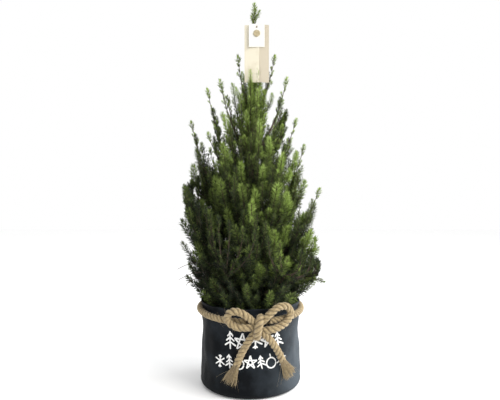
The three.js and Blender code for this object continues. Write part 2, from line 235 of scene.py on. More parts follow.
def mottle_group():
    """Two colours in uneven patches: dust and a painted sheen on cloth, lichen on bark, lighter and
    darker fibre on jute.
    """
    group = bpy.data.node_groups.new("mottle", "ShaderNodeTree")
    for way, kind, names in (("INPUT", "Vector", ("Vector",)), ("INPUT", "Color", ("Base", "Patch")),
                             ("INPUT", "Float", ("Scale", "From", "To")),
                             ("OUTPUT", "Color", ("Color",)), ("OUTPUT", "Float", ("Mask",))):
        for name in names:
            group.interface.new_socket(name, in_out=way, socket_type="NodeSocket" + kind)
    given = group.nodes.new("NodeGroupInput").outputs
    cloud = add_node(group, "TexNoise", Vector=given["Vector"], Scale=given["Scale"],
                     Detail=5.0, Roughness=0.6)
    spread = add_node(group, "MapRange", Value=cloud["Fac"], From_Min=given["From"],
                      From_Max=given["To"])
    mix = add_node(group, "Mix", data_type="RGBA", Factor=spread["Result"],
                   A=given["Base"], B=given["Patch"])
    set_up(group.nodes.new("NodeGroupOutput"), Color=mix["Result"], Mask=spread["Result"])
    return group


MOTTLE = mottle_group()


def add_mottle(tree, vector, base, patch, scale, low, high):
    """One mottle group placed in a material, with its own colours and scale."""
    return add_node(tree, "Group", node_tree=MOTTLE, Vector=vector, Base=base, Patch=patch,
                    Scale=scale, From=low, To=high)


def new_finish(name, roughness, *tones):
    """A procedural material: itself, its shader, its coordinates, and the mottle of its tones."""
    finish = bpy.data.materials.new(name)
    finish.use_nodes = True
    shader = set_up(finish.node_tree.nodes["Principled BSDF"], Roughness=roughness)
    place = add_node(finish.node_tree, "TexCoord")
    if not tones:
        return finish, shader, place, None
    mottle = add_mottle(finish.node_tree, place["Object"], *tones)
    set_up(shader, Base_Color=mottle["Color"])
    return finish, shader, place, mottle


def add_bump(shader, height, strength, distance):
    """Relief from a height that changes over the surface."""
    bump = add_node(shader.id_data, "Bump", Strength=strength, Distance=distance, Height=height)
    set_up(shader, Normal=bump["Normal"])


def add_grain(shader, place, scale, strength, distance):
    """The relief of a fine grain."""
    grain = add_node(shader.id_data, "TexNoise", Vector=place["Object"], Scale=scale)
    add_bump(shader, grain["Fac"], strength, distance)


def canvas_finish():
    """Dark coated canvas: a fine weave under the coating, dusty where it has been handled, and a
    painted sheen that lightens its right side.
    """
    finish, shader, place, dust = new_finish("coated_canvas", 0.62, CLOTH_DARK, CLOTH_WORN,
                                             13, 0.44, 0.70)
    tree = finish.node_tree
    # A painted sheen: the right side is painted in lighter patches, where light would glance off the
    # coating.
    tone = add_mottle(tree, place["Object"], CLOTH_DARK, CLOTH_PAINTED_SHEEN, 9, 0.30, 0.60)
    parts = add_node(tree, "SeparateXYZ", place["Object"])
    painted_sheen_side = add_node(tree, "MapRange", Value=parts["X"], From_Min=0.030, From_Max=0.105, To_Max=0.75)
    both = add_node(tree, "Mix", data_type="RGBA", Factor=painted_sheen_side["Result"],
                    A=dust["Color"], B=tone["Color"])
    rough = add_node(tree, "MapRange", Value=dust["Mask"], To_Min=0.52, To_Max=0.72)
    set_up(shader, Base_Color=both["Result"], Roughness=rough["Result"], Sheen_Weight=0.005,
           Sheen_Roughness=0.5, Specular_IOR_Level=0.05)
    warp, weft = (add_node(tree, "TexWave", bands_direction=way, Vector=place["UV"],
                           Scale=WEAVE_SCALE) for way in "XY")
    weave = add_node(tree, "Math", warp["Fac"], weft["Fac"], operation="MULTIPLY")
    slub = add_node(tree, "TexNoise", Vector=place["Object"], Scale=420)
    relief = add_node(tree, "Math", weave["Value"], slub["Fac"], operation="ADD")
    add_bump(shader, relief["Value"], 0.5, 0.0004)
    return finish


def run_along(path):
    """How far along a path each of its points lies."""
    return np.concatenate([[0.0], np.cumsum(np.linalg.norm(np.diff(path, axis=0), axis=1))])


def make_sleeve():
    """The cloth from the middle of its base, round its foot, up, over the hem and down inside."""
    angles = whole_turn(CLOTH_COLUMNS)
    foot = [(0.0, 0.0), (0.03, 0.0), (0.07, 0.0)]
    for degrees in range(0, 91, 10):
        a = math.radians(degrees)
        foot.append((CLOTH_RADIUS - CLOTH_CORNER + CLOTH_CORNER * math.sin(a),
                     CLOTH_CORNER * (1 - math.cos(a))))
    lip = np.array([CLOTH_HEIGHT + LIP_WAVE * round_noise(a, 3, 1) for a in angles])
    rows = []
    for reach, height in foot:
        share = reach / CLOTH_RADIUS * (height > 0.002)
        rows.append(([reach + share * cloth_dent(a, height) for a in angles], height))
    for height in np.linspace(CLOTH_CORNER + 0.003, CLOTH_HEIGHT - 0.0016, 64):
        rows.append(([cloth_surface(a, height) for a in angles], height))
    top = np.array([cloth_surface(a, CLOTH_HEIGHT) for a in angles])
    for inwards, drop in ((0.0006, 0.0006), (0.0018, 0.0), (0.0030, 0.0006)):
        rows.append((top - inwards, lip - drop))
    for height in np.linspace(CLOTH_HEIGHT - 0.003, LINING_FOOT, 16):
        rows.append(([cloth_surface(a, height) - CLOTH_THICK - 0.0006 for a in angles], height))
    radius = np.array([row[0] for row in rows])
    height = np.array([np.broadcast_to(row[1], angles.shape) for row in rows])
    # The lip's wave fades out down the hem.
    fade = np.clip((height - (CLOTH_HEIGHT - HEM_DEPTH)) / HEM_DEPTH, 0, 1)
    fade *= height < CLOTH_HEIGHT - 0.001
    fade[: len(foot) + 1] = 0
    height = height + fade * (lip - CLOTH_HEIGHT)
    points = np.stack([radius * np.cos(angles), radius * np.sin(angles), height], axis=2)
    row, column = grid_corners(len(rows), CLOTH_COLUMNS)
    run = run_along(np.stack([radius[:, 0], height[:, 0]], axis=1))
    uv = np.stack([column / CLOTH_COLUMNS * 2 * math.pi * CLOTH_RADIUS, run[row]], axis=2)
    make_piece("planter_cloth", points, grid_faces(len(rows), CLOTH_COLUMNS), canvas_finish(),
               ["planter_sleeve"], uv)


make_sleeve()


def unit(vectors, tiny=0.0):
    """Vectors scaled to a length of one."""
    return vectors / (np.linalg.norm(vectors, axis=-1, keepdims=True) + tiny)


def path_frames(path):
    """A path's directions: along it, and two crossways that hardly twist. Then its run."""
    tangent = unit(np.gradient(path, axis=0), 1e-12)
    chord = path[-1] - path[0]
    aside = np.cross((0.0, 0.0, 1.0), chord)
    if np.linalg.norm(aside) < 0.05 * np.linalg.norm(chord):
        aside = np.array((1.0, 0.0, 0.0))
    side = unit(aside - (tangent @ aside)[:, None] * tangent, 1e-12)
    return tangent, side, np.cross(tangent, side), run_along(path)


def rings_about(side, front, turn):
    """A ring of crossways directions at each point of a path."""
    return np.cos(turn)[None, :, None] * side[:, None] + np.sin(turn)[None, :, None] * front[:, None]


class Pile:
    """Many small meshes of one kind, gathered into one piece."""

    def __init__(self):
        self.points, self.faces, self.marks, self.count = [], [], [], 0

    def add(self, points, faces, marks=None):
        """Each mark is two numbers of a point, for its material."""
        self.points.append(np.asarray(points).reshape(-1, 3))
        self.faces.append(np.asarray(faces) + self.count)
        count = len(self.points[-1])
        self.marks.append(np.ones((count, 2)) if marks is None else marks.reshape(-1, 2))
        self.count += count

    def add_tube(self, path, radius, sides, marks=None):
        """A tube along a path; the radius may change on the way."""
        _, side, front, _ = path_frames(path)
        wide = np.broadcast_to(np.asarray(radius, dtype=float).reshape(-1, 1, 1), (len(path), 1, 1))
        points = path[:, None] + rings_about(side, front, whole_turn(sides)) * wide
        self.add(points, grid_faces(len(path), sides), marks)

    def make(self, name, finish, stands_for=(), marked=False):
        """The whole pile as one piece of the plant."""
        faces = np.concatenate(self.faces)
        marks = np.concatenate(self.marks)[faces] if marked else None
        make_piece(name, np.concatenate(self.points), faces, finish, stands_for, marks)


# The hem's and the back seam's thread.
STITCH_LENGTH, STITCH_GAP, THREAD_RADIUS = 0.0034, 0.0018, 0.00035
STITCH_LIFTS = ((0, -0.0003), (0.25, 0.0003), (0.75, 0.0003), (1, -0.0003))
SEAM_LOW, SEAM_HIGH, SEAM_HALF = 0.016, 0.148, 0.02


def make_stitches():
    """Short stitches, each sunk a little into the cloth at both ends."""
    pile = Pile()
    taper = [0.0001, THREAD_RADIUS, THREAD_RADIUS, 0.0001]
    step = STITCH_LENGTH + STITCH_GAP
    hem = CLOTH_HEIGHT - HEM_DEPTH + 0.0025
    for number in range(int(2 * math.pi / (step / CLOTH_RADIUS))):
        places = [on_cloth((number * step + share * STITCH_LENGTH) / CLOTH_RADIUS, hem, lift)
                  for share, lift in STITCH_LIFTS]
        pile.add_tube(np.array(places), taper, 6)
    for seam_angle in (math.pi / 2 - SEAM_HALF, math.pi / 2 + SEAM_HALF):
        for z in np.arange(SEAM_LOW, SEAM_HIGH, step):
            places = [on_cloth(seam_angle, z + share * STITCH_LENGTH, lift)
                      for share, lift in STITCH_LIFTS]
            pile.add_tube(np.array(places), taper, 6)
    thread = new_finish("dark_thread", 0.6, (0.03, 0.034, 0.04, 1), (0.09, 0.10, 0.11, 1),
                        60, 0.4, 0.7)[0]
    pile.make("planter_stitches", thread)


make_stitches()

# ==== painted motifs ======================================================================
# Plain winter shapes brushed on the planter's front in chalky white paint: stars, snowflakes,
# small firs and baubles in two uneven rows, five above and seven below.

PAINT_LIFT, PAINT_THICK = 0.00035, 0.00012
UPPER_ROW = (0.1120, (-0.041, -0.016, 0.009, 0.034, 0.057))
LOWER_ROW = (0.0725, (-0.063, -0.042, -0.021, 0.000, 0.021, 0.041, 0.064))
UPPER_SIZE, UPPER_WIDTH = 0.0172, 0.0030
LOWER_SIZE, LOWER_WIDTH = 0.0142, 0.0026


def star_strokes(size):
    corners = [(size * math.sin(4 * math.pi * k / 5), size * math.cos(4 * math.pi * k / 5))
               for k in range(6)]
    return [[corners[k], corners[k + 1]] for k in range(5)]


def flake_strokes(size):
    strokes = []
    for k in range(3):
        a = math.pi * (k / 3 + 0.5)
        arm = (size * math.cos(a), size * math.sin(a))
        strokes.append([(-arm[0], -arm[1]), arm])
    for rise in (-1, 1):
        knee = (0, 0.58 * size * rise)
        for aside in (-0.30, 0.30):
            strokes.append([knee, (aside * size, 0.86 * size * rise)])
    return strokes


def fir_strokes(size):
    strokes = [[(0, size), (0, -size)]]
    for rise, reach in ((0.40, 0.36), (-0.10, 0.54), (-0.60, 0.72)):
        for way in (-1, 1):
            strokes.append([(0, size * (rise + 0.42)), (way * size * reach, size * rise)])
    return strokes


def bauble_strokes(size):
    ring = [(0.68 * size * math.cos(a), 0.68 * size * math.sin(a) - 0.25 * size)
            for a in np.linspace(0, 2 * math.pi, 17)]
    return [ring, [(0, 0.5 * size), (0, size)]]


def paint_stroke(pile, stroke, middle, tilt, width, paint_rng):
    """One stroke of the brush as a thin ribbon that follows the cloth, round at both ends."""
    points = np.array(stroke, dtype=float)
    run = run_along(points)
    count = max(6, int(run[-1] / 0.0012))
    at = np.linspace(0, run[-1], count)
    line = np.stack([np.interp(at, run, points[:, k]) for k in (0, 1)], axis=1)
    bow = paint_rng.normal(0, 0.0005)
    along = unit(np.gradient(line, axis=0))
    across = np.stack([-along[:, 1], along[:, 0]], axis=1)
    line += across * (bow * np.sin(np.pi * at / run[-1]))[:, None]
    ends = np.minimum(at, run[-1] - at)
    round_end = np.sqrt(np.clip(1 - (1 - np.clip(ends / (width / 2), 0, 1)) ** 2, 0.03, 1))
    wave = 1 + 0.10 * np.sin(at / 0.0021 + paint_rng.uniform(0, 6)) + paint_rng.normal(0, 0.03, count)
    half = (width / 2 * round_end * wave)[:, None]
    ribbon = np.stack([line - across * half, line, line + across * half], axis=1)
    u = ribbon[..., 0] * math.cos(tilt) - ribbon[..., 1] * math.sin(tilt) + middle[0]
    z = ribbon[..., 0] * math.sin(tilt) + ribbon[..., 1] * math.cos(tilt) + middle[1]
    placed = [on_cloth(u_row[k] / CLOTH_RADIUS - math.pi / 2, z_row[k],
                       PAINT_LIFT + PAINT_THICK * (k == 1))
              for u_row, z_row in zip(u, z) for k in range(3)]
    pile.add(placed, grid_faces(count, 3, closed=False))


def make_paint():
    paint_rng = np.random.default_rng(7)
    pile = Pile()
    upper = [fir_strokes, star_strokes, flake_strokes, star_strokes, fir_strokes]
    lower = [flake_strokes, fir_strokes, bauble_strokes, star_strokes, fir_strokes,
             bauble_strokes, flake_strokes]
    rows = ((UPPER_ROW, upper, UPPER_SIZE, UPPER_WIDTH), (LOWER_ROW, lower, LOWER_SIZE, LOWER_WIDTH))
    for (height, places), motifs, size, width in rows:
        for u, motif in zip(places, motifs):
            middle = (u, height + paint_rng.normal(0, 0.0018))
            tilt = paint_rng.normal(0, 0.09)
            for stroke in motif(size * paint_rng.uniform(0.86, 1.06)):
                paint_stroke(pile, stroke, middle, tilt, width, paint_rng)
    paint, shader, _, thin = new_finish("chalk_paint", 0.75, (0.80, 0.80, 0.78, 1),
                                        (0.42, 0.43, 0.44, 1), 190, 0.52, 0.86)
    add_bump(shader, thin["Mask"], 0.3, 0.0003)
    pile.make("painted_motifs", paint)


make_paint()

# ==== potting soil ========================================================================
# The top of the potting mix: dark peat and bark crumbs, uneven, a little below the hem.

soil_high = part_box("potting_soil")[1]
SOIL_RADIUS = soil_high[0] + 0.0015
SOIL_TOP = soil_high[2]
SOIL_SINK, CRUMB_SINK, CRUMBS = 0.004, 0.0028, 1400
SOIL_DARK = (0.016, 0.011, 0.008, 1)
SOIL_BARK = (0.060, 0.036, 0.022, 1)


def lump(rng, size):
    """An uneven crumb of eight faces."""
    corners = np.array([(1, 0, 0), (-1, 0, 0), (0, 1, 0), (0, -1, 0), (0, 0, 1), (0, 0, -1)], float)
    corners *= size * rng.uniform(0.5, 1.0, (6, 1))
    faces = np.array([(0, 2, 4), (2, 1, 4), (1, 3, 4), (3, 0, 4),
                      (2, 0, 5), (1, 2, 5), (3, 1, 5), (0, 3, 5)])
    spin = rng.uniform(0, 2 * math.pi)
    turn = np.array([(math.cos(spin), -math.sin(spin), 0), (math.sin(spin), math.cos(spin), 0),
                     (0, 0, 1)])
    return corners @ turn.T, faces


def make_soil():
    soil_rng = np.random.default_rng(11)
    columns, rings = 96, 34
    points = []
    for ring in range(rings):
        reach = SOIL_RADIUS * ring / (rings - 1)
        for a in whole_turn(columns):
            x, y = reach * math.cos(a), reach * math.sin(a)
            rough = noise.noise(Vector((x * 60, y * 60, 3))) + noise.noise(Vector((x, y, 0)) * 190)
            points.append((x, y, SOIL_TOP - SOIL_SINK + 0.0022 * rough))
    mix, shader, _, bits = new_finish("potting_mix", 0.95, SOIL_DARK, SOIL_BARK, 120, 0.50, 0.72)
    add_bump(shader, bits["Mask"], 0.8, 0.0012)
    make_piece("soil_top", points, grid_faces(rings, columns), mix, ["potting_soil"])
    pile = Pile()
    for _ in range(CRUMBS):
        reach = (SOIL_RADIUS - 0.004) * math.sqrt(soil_rng.random())
        a = soil_rng.uniform(0, 2 * math.pi)
        corners, faces = lump(soil_rng, soil_rng.uniform(0.0012, 0.0036))
        pile.add(corners + (reach * math.cos(a), reach * math.sin(a), SOIL_TOP - CRUMB_SINK), faces)
    pile.make("soil_crumbs", mix)


make_soil()

# ==== trunk and boughs ====================================================================
# One stem from a flared foot to the leading shoot, and tiers of boughs that slant out and bend
# up. The bark is thin, grey-brown and scaly, and it gets smoother and redder towards the tips.

TRUNK_FOOT, TRUNK_TIP = 0.1500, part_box("trunk")[1][2]
TRUNK_LEAN, TRUNK_BOW = 0.008, 0.005
TRUNK_SLIM, TRUNK_THICK, TRUNK_FLARE = 0.0011, 0.0079, 0.005
TRUNK_ROWS, TRUNK_SIDES, BOUGH_ROWS, BOUGH_SIDES = 260, 22, 36, 9
BARK_GREY = (0.110, 0.082, 0.058, 1)
BARK_DARK = (0.036, 0.023, 0.015, 1)
BOUGH_STRAIGHT, BOUGH_THICK = 0.55, 0.0046
# Where each tier's boughs leave the trunk.
TIERS = {"skirt": 0.168, "belly": 0.214, "middle": 0.292, "shoulder": 0.384, "upper": 0.470,
         "crest": 0.552}


def trunk_line(height):
    t = (np.asarray(height, dtype=float) - TRUNK_FOOT) / (TRUNK_TIP - TRUNK_FOOT)
    return np.stack([TRUNK_LEAN * t * t, TRUNK_BOW * np.sin(np.pi * t) * t, t * 0 + height], axis=-1)


def trunk_radius(height):
    t = np.clip((height - TRUNK_FOOT) / (TRUNK_TIP - TRUNK_FOOT), 0, 1)
    flare = TRUNK_FLARE * np.exp(-(height - TRUNK_FOOT) / 0.026)
    return TRUNK_SLIM + TRUNK_THICK * (1 - t) ** 1.15 + flare


def node_points(name):
    """A CAD node's corners and faces, in the part's frame."""
    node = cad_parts[name]
    corners = [node.matrix_world @ v.co for v in node.data.vertices]
    return corners, [list(p.vertices) for p in node.data.polygons]


def bough_line(foot, tip, t):
    """A bough leaves the trunk slanting and bends upwards. t runs from the trunk to the tip."""
    start = trunk_line(foot)
    flat = np.array((tip[0] - start[0], tip[1] - start[1], 0.0))
    rise = np.array((0.0, 0.0, tip[2] - foot))
    quarter = math.pi / 2 * t
    along = BOUGH_STRAIGHT * t + (1 - BOUGH_STRAIGHT) * np.sin(quarter)
    up = BOUGH_STRAIGHT * t + (1 - BOUGH_STRAIGHT) * (1 - np.cos(quarter))
    return start + np.outer(along, flat) + np.outer(up, rise)


def scaly(point, fine):
    """Bark scales: plates with cracks between them, as a share from -1 to 1."""
    cell = noise.voronoi(Vector(point) * fine)[0]
    return (cell[1] - cell[0]) * 1.6 - 0.5 + 0.4 * noise.noise(Vector(point) * fine * 2)


def bark_tube(pile, path, radius, sides, relief, fine):
    """A tapering stem with its scales in relief, drawn out along it."""
    _, side, front, _ = path_frames(path)
    ring = rings_about(side, front, whole_turn(sides))
    rise = np.ones((len(path), sides, 1))
    for i, middle in enumerate(path):
        for j in range(sides):
            at = middle + ring[i, j] * radius[i]
            rise[i, j, 0] += relief * scaly((at[0], at[1], at[2] * 0.45), fine)
    pile.add(path[:, None] + ring * radius[:, None, None] * rise, grid_faces(len(path), sides))


def bark_finish(name, light, dark, scale):
    finish, shader, _, patches = new_finish(name, 0.85, dark, light, scale, 0.38, 0.66)
    add_bump(shader, patches["Mask"], 0.7, 0.0008)
    return finish


# Every limb's own course, from the trunk to the far tip of the mass it carries.
limbs = []
for tier, foot in TIERS.items():
    for name in (n for n in sorted(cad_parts) if n.startswith(f"foliage_{tier}_")):
        corners, faces = node_points(name)
        start = Vector(trunk_line(foot))
        tip = max(corners, key=lambda c: (c - start).length)
        limbs.append({
            "name": name, "tier": tier, "foot": foot, "tip": np.array(tip),
            "solid": BVHTree.FromPolygons(corners, faces), "corners": np.array(corners),
        })


def make_bark():
    pile = Pile()
    heights = np.linspace(TRUNK_FOOT + 0.0006, TRUNK_TIP, TRUNK_ROWS)
    bark_tube(pile, trunk_line(heights), trunk_radius(heights), TRUNK_SIDES, 0.10, 190)
    for limb in limbs:
        t = np.linspace(0, 0.72, BOUGH_ROWS)
        slim = 1 - 0.4 * (limb["foot"] - TRUNK_FOOT) / (TRUNK_TIP - TRUNK_FOOT)
        radius = BOUGH_THICK * slim * (1 - t / 0.76) ** 0.9 + 0.0004
        bark_tube(pile, bough_line(limb["foot"], limb["tip"], t), radius, BOUGH_SIDES, 0.08, 260)
    boughs = [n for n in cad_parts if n.startswith("bough_")]
    pile.make("trunk_and_boughs", bark_finish("scaly_bark", BARK_GREY, BARK_DARK, 120),
              ["trunk", *boughs])


make_bark()

# ==== shoots and needles ==================================================================
# Each limb divides its mass among upright shoots. A shoot leaves its bough on a curved twig, turns
# up, and is set all round with short needles, fresh and light at its tip and dark lower down.

crown_rng = np.random.default_rng(23)
NEEDLE_WIDTH, NEEDLE_SPREAD, NEEDLE_LIFT = 0.155, 70, 0.12
GREEN_SCATTER, ANGLE_SCATTER = 0.62, 11
GOLDEN = math.pi * (3 - math.sqrt(5))
TWIG_BROWN = (0.068, 0.042, 0.025, 1)
TWIG_DARK = (0.032, 0.020, 0.013, 1)
# From the darkest green, for old needles and for painted shade deep in the crown, to the freshest at
# a shoot's tip.
GREENS = (
    ("night", (0.012, 0.016, 0.012, 1)), ("deep", (0.026, 0.035, 0.020, 1)),
    ("pine", (0.057, 0.079, 0.029, 1)), ("leaf", (0.115, 0.154, 0.042, 1)),
    ("spring", (0.180, 0.245, 0.060, 1)), ("lime", (0.270, 0.375, 0.085, 1)),
    ("pale", (0.390, 0.510, 0.150, 1)),
)
# Each tier's shoots: the green length, the needles' length and the sprigs' length.
TIER_SHOOTS = {
    "skirt": (0.075, 0.0100, 0.024), "belly": (0.100, 0.0105, 0.026),
    "middle": (0.105, 0.0105, 0.024), "shoulder": (0.090, 0.0095, 0.021),
    "upper": (0.070, 0.0078, 0.016), "crest": (0.055, 0.0068, 0.012),
}
MOST_NEEDLES = 96000
# How far below the crown's outside a tip lies, and the room that the other tips leave it there.
OUTSIDE, NEAR_OUTSIDE, DEEP = 0.012, 0.022, 0.040
BOLD_ROOM, BOLD_ROOM_ABOVE = 0.029, 0.030
FINE_ROOM, INNER_ROOM, DEEP_ROOM, MORE_ROOM_ABOVE = 0.0145, 0.0170, 0.0250, 1.35
UPPER_CROWN = 0.54
TIP_SAMPLES, TIP_SQUASH = 2600, (1, 1, 0.45)
STEM_ROWS, BEARING_ROWS = 60, 54
WHIP_HEIGHT, WHIP_DEPTH, SPARSE_DEPTH = 0.50, 0.020, 0.024
RIM_HEIGHT, RIM_REACH = 0.168, 0.088
sprays = [[] for _ in GREENS]
twigs = Pile()


def set_needles(path, start, per_metre, length, spread, green, fresh, fresh_green, wide=1.0):
    """Needles all round a shoot from start to its tip; the last stretch is of a fresher green."""
    tangent, side, front, run = path_frames(path)
    total = run[-1]
    count = int((total - start) * per_metre)
    if count < 3:
        return
    s = start + (np.arange(count) + crown_rng.random(count)) / count * (total - start)
    s[-8:] = total - crown_rng.random(min(8, count)) * 0.0015
    middle, ahead, aside, forward = (
        np.stack([np.interp(s, run, field[:, k]) for k in range(3)], axis=1)
        for field in (path, tangent, side, front))
    close = np.clip(1 - (total - s) / 0.007, 0, 1)
    young = np.clip((s - start) / 0.006, 0.4, 1)
    tilt = np.radians(spread * (1 - 0.58 * close) + crown_rng.normal(0, ANGLE_SCATTER, count))
    turn = GOLDEN * np.arange(count) + crown_rng.normal(0, 0.5, count)
    outward = aside * np.cos(turn)[:, None] + forward * np.sin(turn)[:, None]
    aim = ahead * np.cos(tilt)[:, None] + outward * np.sin(tilt)[:, None]
    aim[:, 2] += NEEDLE_LIFT
    aim = unit(aim)
    reach = length * crown_rng.uniform(0.75, 1.12, count) * (1 - 0.25 * close) * young
    across = unit(np.cross(aim, outward), 1e-9)
    keel = np.cross(across, aim)
    half = NEEDLE_WIDTH * wide * length / 2 * crown_rng.uniform(0.8, 1.2, count)[:, None]
    step = reach[:, None]
    foot = middle + outward * 0.0004
    waist = foot + aim * step * 0.45 + keel * half * 0.6
    tip = foot + aim * step + ahead * step * 0.10
    points = np.stack([foot, waist + across * half, tip, waist - across * half], axis=1)
    near_tip = np.clip((s - (total - fresh)) / (0.6 * fresh + 1e-6), 0, 1)
    ranks = green + (fresh_green - green) * near_tip + crown_rng.normal(0, GREEN_SCATTER, count)
    ranks = np.clip(np.rint(ranks), 0, len(GREENS) - 1).astype(int)
    for rank in np.unique(ranks):
        sprays[rank].append(points[ranks == rank])


def curved(start, knee, elbow, end, step=0.007):
    """A smooth twig through four guide points."""
    rough = np.linalg.norm(end - start) * 1.15
    t = np.linspace(0, 1, max(4, int(rough / step)))[:, None]
    return ((1 - t) ** 3 * start + 3 * (1 - t) ** 2 * t * knee
            + 3 * (1 - t) * t * t * elbow + t ** 3 * end)


def add_twig(path, foot_radius, tip_radius, sides=3):
    twigs.add_tube(path, np.linspace(foot_radius, tip_radius, len(path)), sides)


whole_corners, whole_faces = [], []
for limb in limbs:
    corners, faces = node_points(limb["name"])
    whole_faces += [[i + len(whole_corners) for i in f] for f in faces]
    whole_corners += corners
crown_solid = BVHTree.FromPolygons(whole_corners, whole_faces)


def depth_in_crown(point):
    """How far below the crown's outside a point lies, along a line that leans up and out."""
    axis = trunk_line(point[2])
    out = Vector((point[0] - axis[0], point[1] - axis[1], 0.0))
    out = out.normalized() if out.length > 1e-4 else Vector((0, -1, 0))
    out = (out + Vector((0, 0, 0.35))).normalized()
    hit = crown_solid.ray_cast(Vector(point) + out * 0.4, -out, 0.4)
    return 0.0 if hit[0] is None else (Vector(point) - hit[0]).length


def inside(limb, point):
    """How deep a point lies in a limb's own mass; negative outside it."""
    near, normal, _, distance = limb["solid"].find_nearest(Vector(point))
    return distance if (Vector(point) - near).dot(normal) < 0 else -distance


def sprig(path, where, length, turn, green, fresh_green, per_metre, needle, wide=1.0):
    """A short side shoot that leaves at about 45 degrees and turns up."""
    tangent, side, front, run = path_frames(path)
    i = int(np.clip(np.searchsorted(run, where), 1, len(path) - 2))
    outward = side[i] * math.cos(turn) + front[i] * math.sin(turn)
    lean = unit(tangent[i] * 0.75 + outward * 0.75 + (0, 0, 0.1))
    rise = unit(tangent[i] * 0.85 + outward * 0.25 + (0, 0, 0.3))
    knee = path[i] + lean * length * 0.4
    elbow = knee + lean * length * 0.25
    twig = curved(path[i], knee, elbow, elbow + rise * length * 0.4)
    add_twig(twig, 0.0006, 0.0004)
    set_needles(twig, 0.001, per_metre, needle, NEEDLE_SPREAD, green, 0.5 * length, fresh_green,
                wide)


def shoot(path, tall, green, fresh_green, per_metre, needle, sprig_length, sprig_gap):
    """An upright shoot: needles over its last stretch, and sprigs on that stretch's lower part."""
    total = run_along(path)[-1]
    start = max(0.003, total - tall)
    add_twig(path, 0.0008 + 0.003 * total, 0.0005, 4 if green > 1 else 3)
    fresh = min(0.038, 0.42 * tall)
    set_needles(path, start, per_metre, needle, NEEDLE_SPREAD, green, fresh, fresh_green)
    older = path[: int(len(path) * start / total) + 1]
    if len(older) > 4:
        set_needles(older, 0.3 * start, 0.4 * per_metre, needle, 60, 0.5 * green, 0, 0.5 * green)
    turn = crown_rng.uniform(0, 6)
    where = start + 0.005
    while where < total - 0.34 * tall:
        share = (where - start) / tall
        length = sprig_length * (1 - 0.5 * share) * crown_rng.uniform(0.7, 1.2)
        tip_green = green + (fresh_green - green) * (0.3 + share)
        sprig(path, where, length, turn, green, tip_green, per_metre, needle * 0.9)
        turn += 2.4 + crown_rng.normal(0, 0.3)
        where += sprig_gap * crown_rng.uniform(0.8, 1.2)


def whip(path, tall, green, fresh_green, needle, bead_gap):
    """A thin outer twig: a tuft at its tip, and small separate tufts along it below."""
    total = run_along(path)[-1]
    tall = min(tall, 0.94 * total)
    green, fresh_green = green + 0.5, fresh_green - 0.4
    add_twig(path, 0.0015, 0.0006)
    tuft = crown_rng.uniform(0.016, 0.024)
    set_needles(path, total - tuft, 3200, 1.15 * needle, 66, green, 0.6 * tuft, fresh_green, 1.2)
    turn = crown_rng.uniform(0, 6)
    where = total - tuft - 0.004
    while where > total - tall:
        share = (total - where) / tall
        shade = crown_rng.normal(0, 0.5) - 0.4 * share
        for side_turn in (0.0, 2.4):
            length = (0.004 + 0.008 * share) * crown_rng.uniform(0.6, 1.4)
            if crown_rng.random() < 0.8:
                sprig(path, where, length, turn + side_turn, green + shade, fresh_green + shade,
                      3600, 0.78 * needle, 1.5)
        turn += 1.9 + crown_rng.normal(0, 0.5)
        where -= bead_gap * crown_rng.uniform(0.6, 1.4)


def greens_of(depth, point, proud):
    """The greens of a shoot's body and tip: fresher at the tip, and with painted light and shade,
    lighter above, on the right and on the crown's outside, darker below and deep inside.
    """
    # light is painted light: how brightly a shoot would be lit, more on the right side and higher up,
    # put into its greens.
    light = 0.70 + 0.20 * math.tanh(point[0] / 0.03) + point[0] + 4.0 * (point[2] - 0.40)
    light = min(max(light, 0.05), 1.0)
    chance = crown_rng.random()
    # Deep inside the crown the greens are darkest, a painted shade.
    if depth > DEEP:
        return 0.2, 0.7
    # Bold shoots on the crown's outside get lighter greens, partly painted light.
    if proud:
        body = 1.2 + 2.0 * light + 0.9 * (chance - 0.5)
        return body, body + 0.9 + 1.2 * light + crown_rng.uniform(0, 0.5)
    # Shoots a little below the outside get darker greens, a painted shade.
    if depth > NEAR_OUTSIDE:
        return 0.4 + 1.2 * light * chance, 0.9 + 1.7 * light * chance
    body = 0.7 + 1.3 * light + 0.8 * (chance - 0.5)
    return body, body + 0.5 + 0.5 * light


def spread_tips():
    """Shares the crown out: bold shoots well apart on its outside, and finer ones between."""
    found = []
    for limb in limbs:
        low, high = limb["corners"].min(axis=0) - 0.006, limb["corners"].max(axis=0) + 0.006
        for point in crown_rng.uniform(low, high, (TIP_SAMPLES, 3)):
            if inside(limb, point) > -0.005:
                found.append((depth_in_crown(point) + crown_rng.uniform(0, 0.006), limb, point))
    found.sort(key=lambda f: f[0])
    tips = np.array([limb["tip"] for limb in limbs])
    chosen = []
    for proud in (True, False):
        for depth, limb, point in found:
            if proud:
                room = BOLD_ROOM if point[2] < UPPER_CROWN else BOLD_ROOM_ABOVE
            else:
                room = (FINE_ROOM if depth < NEAR_OUTSIDE else INNER_ROOM if depth < DEEP
                        else DEEP_ROOM)
                room *= MORE_ROOM_ABOVE if point[2] > UPPER_CROWN else 1
            if (depth < OUTSIDE) == proud and np.min(
                    np.sum(((tips - point) * TIP_SQUASH) ** 2, axis=1)) > room ** 2:
                tips = np.vstack([tips, point])
                chosen.append((depth, limb, point, proud))
    return chosen


